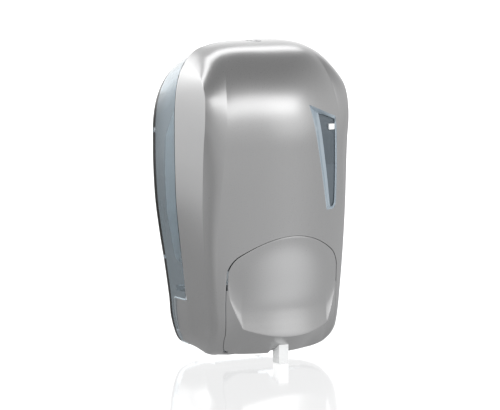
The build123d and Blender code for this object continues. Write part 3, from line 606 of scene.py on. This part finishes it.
def casing(v, q):
    """A point of the cover's skin: v millimetres across from the middle, q up.

    Front sheet, band, side panel and the low strip behind the seam follow one another in v.
    """
    side, v = np.sign(v)[..., None], np.abs(v)
    edge, crease = opening_half(q), inner_half(q)
    x = np.where(v < across_lever, v * edge / across_lever,
                 edge + (v - across_lever) / (across_inner - across_lever) * (crease - edge))
    front = front_sheet(np.minimum(x, crease), q)
    band = band_sheet(np.clip((v - across_inner) / (across_outer - across_inner), 0, 1), q)
    outer, seam, rear = along(outer_crease, q), seam_point(q), along(rear_edge, np.minimum(q, 38.0))
    across_panel = np.clip((v - across_outer) / (across_seam - across_outer), 0, 1)
    panel = outer + (seam - outer) * across_panel[..., None]
    low = seam + (rear - seam) * np.clip((v - across_seam) / (across_rear - across_seam), 0, 1)[..., None]
    v = v[..., None]
    point = np.where(v < across_inner, front, np.where(v < across_outer, band,
                                                       np.where(v < across_seam, panel, low)))
    return point * np.concatenate([side, np.ones_like(side), np.ones_like(side)], axis=-1)


def soft_casing(v, q):
    """The same skin with its creases rounded: the mean of five points spaced across each.

    The spacing is the crease's softness: the inner one opens out over the dome, the outer one
    towards the foot.
    """
    inner_soft = along([(0, 0.8), (40, 0.45), (195, 0.45), (212, 3.5), (224, 5.0), (236, 0.8)], q)[..., 0]
    outer_soft = along([(0, 2.5), (15, 3.5), (48, 0.8), (236, 0.6)], q)[..., 0]
    middle = np.clip((np.abs(v) - 55.0) / 7.0, 0, 1)
    soft = inner_soft + (outer_soft - inner_soft) * middle * middle * (3 - 2 * middle)
    limit = np.where(q > 38.0, across_seam, across_rear)
    total = 0.0
    for offset in (-1.0, -0.5, 0.0, 0.5, 1.0):
        room = np.minimum(soft, limit - np.abs(v))
        total = total + casing(v + offset * np.maximum(room, 0.0), q)
    return total / 5


def lever_top(x, grow):
    """The level of the lever's arched top at x: a parabola whose corners turn down as a circle."""
    half, corner = lever_half + grow, 7.0 + grow
    past = np.clip((np.abs(x) - half + corner) / corner, 0, 1)
    return 87.5 + grow - 18.5 * (x / half) ** 2 - corner * (1 - np.sqrt(1 - past ** 2))


def both_sides(half):
    """Right hand values of a grid line, and the same on the left."""
    return np.concatenate([-half[::-1][:-1], half])


near_crease = np.array([-1.4, -1.0, -0.7, -0.45, -0.2, 0.0, 0.2, 0.45, 0.7, 1.0, 1.4])
v_line = both_sides(np.concatenate([
    across_lever * np.sin(np.linspace(0, math.pi / 2, 44)), [47.6, 48.8], across_inner + near_crease,
    np.linspace(54.0, 63.4, 9), across_outer + near_crease, np.linspace(69.0, across_seam, 25),
    np.linspace(across_seam, across_rear, 14)[1:]]))
corner_level = float(lever_top(np.array(across_lever), lever_gap))
q_line = np.concatenate([[0.0, 0.4, 1.0, 2.0, 3.2, 4.6], np.linspace(6.0, 38.0, 26),
                         np.linspace(38.0, corner_level, 20)[1:], np.linspace(corner_level, 110.0, 44)[1:],
                         np.linspace(110.0, 150.0, 32)[1:], np.linspace(150.0, 236.0, 84)[1:]])
v_grid, q_grid = np.meshgrid(v_line, q_line)
arch = lever_top(v_grid, lever_gap)
beside = np.abs(v_grid) > across_lever - 1e-6
squeezed = arch + (q_grid - corner_level) * (110.0 - arch) / (110.0 - corner_level)
over_lever = (q_grid >= corner_level) & (q_grid < 110.0) & ~beside
cover_points = in_frame(soft_casing(v_grid, np.where(over_lever, squeezed, q_grid)))
cover_faces = grid_faces(len(q_line), len(v_line))
v_middle = np.abs(v_line[:-1] + v_line[1:])[None, :] / 2
q_middle = (q_line[:-1] + q_line[1:])[:, None] / 2
cover_kept = ~((v_middle < across_lever) & (q_middle < corner_level))
cover_kept &= ~((v_middle > across_seam) & (q_middle > 38.0))
floor_columns = np.linspace(-1.0, 1.0, 33)
floor_edge = cover_points[0][v_line >= across_lever - 1e-6]
floor_sheet = floor_edge[:, None] * np.stack([floor_columns, np.ones(33), np.ones(33)], axis=-1)[None]
floor_faces = grid_faces(len(floor_edge), 33).reshape(-1, 4) + cover_points.reshape(-1, 3).shape[0]
cover = new_mesh("front_cover_skin",
                 np.concatenate([cover_points.reshape(-1, 3), floor_sheet.reshape(-1, 3)]),
                 np.concatenate([cover_faces[cover_kept], floor_faces[:, ::-1]]))
face_outwards(cover)
thicken(cover, cover_skin * 0.001, 0.0003)

# openings of the window and the lock, and slots for the rear shell's knuckles
window_corners = [(16.5, 180.0), (32.0, 104.0), (38.6, 104.0), (41.2, 105.0), (42.6, 107.6), (43.0, 111.0),
                  (43.0, 169.5), (29.75, 174.75)]
window_outline = in_frame(np.array([(x, 0.0, level) for x, level in window_corners]))[:, [0, 2]]
cut(cover, *prism(window_outline, -0.12, -0.04, "y"))
cut(cover, *prism(round_outline((0.0, -0.037), 0.0056, 48), casing_foot + 0.21, casing_foot + 0.25, "z"))
for side in (-1.0, 1.0):
    near_x, far_x = side * 0.0174, side * 0.0226
    slot_run = [(near_x, -0.021), (far_x, -0.021), (far_x, 0.01), (near_x, 0.01)]
    cut(cover, *prism(slot_run, casing_foot - 0.002, casing_foot + 0.006, "z"))

silver, silver_shader = finish("satin_silver_lacquer", (0.50, 0.50, 0.502), 0.012, 0.27, 2600.0, 0.000012)
silver_shader.inputs["Metallic"].default_value = 1.0
silver_shader.inputs["Coat Weight"].default_value = 0.15
silver_shader.inputs["Coat Roughness"].default_value = 0.2
cover.data.materials.clear()
cover.data.materials.append(silver)
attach(cover, "cover")
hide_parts("front_cover")

# ---- sight window ----
# A bezel of blue grey plastic lines the opening: a scooped wall on the left and thin walls elsewhere.
# It holds a dark smoked pane, whose upper part has a fine mesh moulded in, and a small white tab.
bezel_skin = 1.0
bezel_inner = [(27.2, 173.0), (37.2, 106.6), (38.5, 104.6), (41.0, 105.5), (42.3, 108.0), (42.7, 111.4),
               (42.7, 167.9), (33.0, 171.6)]


def walk(corners, steps):
    """Points spaced along a closed outline, steps to each side."""
    corners = np.array(corners, float)
    share = np.arange(steps)[None, :, None] / steps
    return (corners[:, None] + (np.roll(corners, -1, axis=0) - corners)[:, None] * share).reshape(-1, 2)


def pane_depth(x):
    """How far the pane lies behind the front: deep at its left edge, shallow at its right."""
    return np.interp(x, [27.0, 42.7], [5.0, 1.5])


def behind_front(outline, depth):
    """Points of x and level placed on the front sheet, and moved towards the wall by depth."""
    q = np.where(outline[:, 1] < dome_level, outline[:, 1], dome_level + dome_turn / 90.0 * np.degrees(
        np.arcsin(np.clip((outline[:, 1] - dome_level) / (crown(outline[:, 0], 62.2, 156.0, 67.4, 3.7)
                                                          - dome_level), 0, 1) ** (2.2 / 2))))
    points = front_sheet(outline[:, 0], q)
    points[:, 1] += depth
    points[:, 2] = outline[:, 1]
    return points


outer_ring, inner_ring = walk(window_corners, 12), walk(bezel_inner, 12)
centre = outer_ring.mean(axis=0)
loops = [behind_front(outer_ring + (outer_ring - centre) * np.array([0.09, 0.03]), cover_skin + 0.3),
         behind_front(outer_ring, cover_skin + 0.2), behind_front(outer_ring, 0.9)]
for share in (0.15, 0.4, 0.7, 0.9, 1.0):
    ring = outer_ring + (inner_ring - outer_ring) * share
    loops.append(behind_front(ring, 0.9 + (pane_depth(ring[:, 0]) - 0.9) * math.sin(share * math.pi / 2)))
bezel_points = in_frame(np.stack(loops))
bezel_points = np.concatenate([bezel_points, bezel_points[:, :1]], axis=1)
bezel = new_mesh("window_bezel", bezel_points.reshape(-1, 3),
                 grid_faces(*bezel_points.shape[:2]).reshape(-1, 4)[:, ::-1])
thicken(bezel, bezel_skin * 0.001, 0.0, even=False)
bezel_plastic, bezel_shader = finish("bezel_plastic", (0.33, 0.39, 0.44), 0.05, 0.22, 800.0, 0.00003)
bezel_shader.inputs["Coat Weight"].default_value = 0.5
bezel.data.materials.clear()
bezel.data.materials.append(bezel_plastic)
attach(bezel, "cover")
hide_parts("window_frame")

pane_level = np.linspace(105.2, 173.4, 60)[:, None]
pane_left = np.interp(pane_level, [105.2, 106.6, 173.4], [38.0, 36.8, 26.6])
pane_right = np.interp(pane_level, [105.2, 106.4, 108.3, 111.6, 168.2, 173.4],
                       [40.6, 41.6, 42.6, 43.1, 43.0, 28.0])
pane_x = pane_left + (pane_right - pane_left) * np.linspace(0, 1, 14)
pane_flat = np.stack(np.broadcast_arrays(pane_x, pane_level), axis=-1).reshape(-1, 2)
pane_points = in_frame(behind_front(pane_flat, pane_depth(pane_flat[:, 0]) + 0.1))
pane = new_mesh("window_pane", pane_points, grid_faces(*pane_x.shape).reshape(-1, 4))
face_outwards(pane)
thicken(pane, 0.0014, 0.0, even=False)
pane_glass, pane_shader = finish("smoked_pane", (0.17, 0.205, 0.235), 0.06, 0.12, 500.0, 0.00002)
pane_shader.inputs["Transmission Weight"].default_value = 0.35
pane_tree = pane_glass.node_tree
pane_place = pane_tree.nodes.new("ShaderNodeTexCoord")
pane_height = pane_tree.nodes.new("ShaderNodeSeparateXYZ")
mesh_above = pane_tree.nodes.new("ShaderNodeMath")
mesh_above.operation = "GREATER_THAN"
mesh_above.inputs[1].default_value = casing_foot + 0.136
mesh_cells = pane_tree.nodes.new("ShaderNodeTexChecker")
mesh_cells.inputs["Scale"].default_value = 1100.0
mesh_raised = pane_tree.nodes.new("ShaderNodeMath")
mesh_raised.operation = "MULTIPLY"
mesh_bump = pane_tree.nodes.new("ShaderNodeBump")
mesh_bump.inputs["Distance"].default_value = 0.0002
pane_tree.links.new(pane_place.outputs["Object"], pane_height.inputs[0])
pane_tree.links.new(pane_place.outputs["Object"], mesh_cells.inputs["Vector"])
pane_tree.links.new(pane_height.outputs["Z"], mesh_above.inputs[0])
pane_tree.links.new(mesh_above.outputs[0], mesh_raised.inputs[0])
pane_tree.links.new(mesh_cells.outputs["Fac"], mesh_raised.inputs[1])
pane_tree.links.new(mesh_raised.outputs[0], mesh_bump.inputs["Height"])
pane_tree.links.new(mesh_bump.outputs[0], pane_shader.inputs["Normal"])
pane.data.materials.clear()
pane.data.materials.append(pane_glass)
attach(pane, "cover")
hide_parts("sight_window")

# ---- push lever ----
# The lever is a second silver moulding that hangs on two pins behind the arch. Its palm dish ends
# in a sharp lower ridge; below that the chin folds back to the edge, with a notch for the spout.

def ridge(t):
    """x and level of the dish's lower ridge: a slanting side, a corner, and a shallow curve below."""
    near = np.minimum(t, 1 - t)
    slant = np.clip(near / 0.25, 0, 1)
    x_side = 46.0 - 10.0 * slant ** 1.35
    level_side = 50.0 - 27.7 * slant
    below = np.clip((near - 0.25) / 0.25, 0, 1)
    x = np.where(near < 0.25, x_side, 36.0 * (1 - below))
    level = np.where(near < 0.25, level_side, 15.2 + 7.1 * (1 - below) ** 2)
    return np.where(t < 0.5, -x, x), level


def lever_foot(t):
    """x and level of the lever's outer edge below the ridge's ends: down the side, then along the foot."""
    near = np.minimum(t, 1 - t)
    down = np.clip(near / 0.25, 0, 1)
    along_foot = np.clip((near - 0.25) / 0.1, 0, 1)
    level = np.where(near < 0.25, 50.0 - 44.0 * down, 1.2 + 4.8 * (1 - along_foot) ** 2)
    half = opening_half(level) - lever_gap
    x = np.where(near < 0.25, half, (opening_half(np.full_like(t, 6.0)) - lever_gap)
                 * (1 - np.clip((near - 0.25) / 0.25, 0, 1)))
    return np.where(t < 0.5, -x, x), level


def lever_arch(t):
    """x and level of the lever's outer edge above the ridge's ends: up the side and over the arch."""
    x = -46.0 * np.cos(np.clip((t - 0.06) / 0.88, 0, 1) * math.pi)
    up_side = np.clip(np.minimum(t, 1 - t) / 0.06, 0, 1)
    level = np.where(up_side < 1, 50.0 + (lever_top(np.array(46.0), 0.0) - 50.0) * up_side, lever_top(x, 0.0))
    return x, level


t_line = np.concatenate([np.linspace(0, 0.06, 10), np.linspace(0.06, 0.25, 24)[1:],
                         np.linspace(0.25, 0.5, 34)[1:]])
t_line = np.concatenate([t_line, 1 - t_line[::-1][1:]])
r_line = np.concatenate([np.linspace(0, 0.06, 5), np.linspace(0.06, 1, 40)[1:]])
t_grid, r_grid = np.meshgrid(t_line, r_line)
(x_low, level_low), (x_high, level_high) = ridge(t_grid), lever_arch(t_grid)
dish_x = x_low + (x_high - x_low) * r_grid
dish_level = level_low + (level_high - level_low) * r_grid
dish = front_sheet(dish_x, dish_level)
dish_depth = 5.6
dish[..., 1] += dish_depth * 6.75 * r_grid * (1 - r_grid) ** 2 * np.sin(math.pi * t_grid) ** 1.7
s_line = np.linspace(0, 1, 15)
t_chin, s_chin = np.meshgrid(t_line, s_line)
(ridge_x, ridge_level), (foot_x, foot_level) = ridge(t_chin), lever_foot(t_chin)
ridge_points, foot_points = front_sheet(ridge_x, ridge_level), front_sheet(foot_x, foot_level)
chin = ridge_points + (foot_points - ridge_points) * s_chin[..., None]
dish_count = dish.reshape(-1, 3).shape[0]
lever_points = in_frame(np.concatenate([dish.reshape(-1, 3), chin.reshape(-1, 3)]))
lever_faces = np.concatenate([grid_faces(*t_grid.shape).reshape(-1, 4),
                              grid_faces(*t_chin.shape).reshape(-1, 4)[:, ::-1] + dish_count])
lever = new_mesh("push_lever_skin", lever_points, lever_faces)
face_outwards(lever)
thicken(lever, cover_skin * 0.001, 0.00015)
cut(lever, *prism([(-0.007, casing_foot - 0.02), (0.007, casing_foot - 0.02),
                   (0.007, casing_foot + 0.0055), (-0.007, casing_foot + 0.0055)], -0.1, -0.05, "y"))
lever.data.materials.clear()
lever.data.materials.append(silver)
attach(lever, "lever")
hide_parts("push_lever")

# ---- fittings inside the mouldings ----
# Ears, bosses and a collar moulded into the cover, the lever and the shell, which hold the steel
# pins and the lock. Each is a short carried outline with its edges broken, a separate piece on its skin's
# body.
def side_view(corners):
    """An outline of y and level in millimetres, in the frame."""
    corners = np.array(corners, float)
    return in_frame(np.column_stack([np.zeros(len(corners)), corners]))[:, 1:]


def knuckle(y, level, towards, ends):
    """A half circle of 4 mm round a pin, facing the angle towards, closed by the corners in ends."""
    turns = np.radians(towards + np.linspace(-90.0, 90.0, 18))
    half_round = np.column_stack([y + 4 * np.cos(turns), level + 4 * np.sin(turns)])
    return side_view(np.concatenate([half_round, ends]))


def fitting(name, solids, material, body, node):
    """One piece made of several closed solids, with small rounds on its edges."""
    starts = np.cumsum([0] + [len(points) for points, _ in solids])
    piece = new_mesh(name, np.concatenate([points for points, _ in solids]),
                     np.concatenate([faces + start for (_, faces), start in zip(solids, starts)]))
    face_outwards(piece)
    round_off = piece.modifiers.new("edge", "BEVEL")
    round_off.width = 0.0003
    round_off.segments = 2
    round_off.limit_method = "ANGLE"
    round_off.angle_limit = math.radians(50)
    settle(piece)
    piece.data.set_sharp_from_angle(angle=math.radians(40))
    piece.data.materials.clear()
    piece.data.materials.append(material)
    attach(piece, body)
    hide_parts(node)


def pair(outline, near, far):
    """Two prisms across the casing, one on each side of the middle."""
    return [prism(outline, near * 0.001, far * 0.001, "x"), prism(outline, -far * 0.001, -near * 0.001, "x")]


hinge_ear = knuckle(-11.0, 6.0, 90.0, [(-15.0, 1.2), (-7.0, 1.2)])
pin_boss = side_view([(-74.0, 76.5), (-80.9, 76.5), (-80.9, 95.5), (-74.0, 95.5)])
boss_root = side_view([(-80.0, 89.5), (-84.2, 89.5), (-84.2, 95.5), (-80.0, 95.5)])
fitting("cover_ears", pair(hinge_ear, 22.4, 26.4) + pair(pin_boss, 19.9, 25.9) + pair(boss_root, 19.9, 25.9),
        silver, "cover", "front_cover")

around = np.linspace(0, 2 * math.pi, 65)
collar_profile = np.array([(4.55, 215.4), (7.05, 215.4), (7.05, 221.3), (4.55, 221.3), (4.55, 215.4)])
collar_r, collar_level = collar_profile[:, :1], collar_profile[:, 1:]
collar = np.stack(np.broadcast_arrays(collar_r * np.cos(around), collar_r * np.sin(around) - 37.0,
                                      collar_level), axis=-1)
fitting("lock_collar", [(in_frame(collar).reshape(-1, 3), grid_faces(5, 65).reshape(-1, 4))],
        silver, "cover", "front_cover")

lever_ear = knuckle(-79.0, 80.0, 0.0, [(-84.6, 84.0), (-84.6, 76.0)])
pusher = side_view([(-77.6, 21.5), (-84.4, 21.5), (-84.4, 26.5), (-77.6, 26.5)])
fitting("lever_ears", pair(lever_ear, 15.5, 19.5) + [prism(pusher, -0.0035, 0.0035, "x")],
        silver, "lever", "push_lever")

tab_front = behind_front(np.array([[38.6, 163.0]]), 0.8)[0, 1] * 0.001
window_tab = in_frame(np.array([(36.2, 0, 160.8), (41.0, 0, 160.8), (41.0, 0, 165.0), (36.2, 0, 165.0)]))
window_tab = window_tab[:, [0, 2]]
fitting("window_tab", [prism(window_tab, tab_front, tab_front + 0.003, "y")],
        acetal, "cover", "window_frame")

shell_knuckle = knuckle(-11.0, 6.0, 180.0, [(-1.2, 2.0), (-1.2, 10.0)])
fitting("shell_knuckles", pair(shell_knuckle, 18.0, 22.0), smoked, "base", "rear_shell")
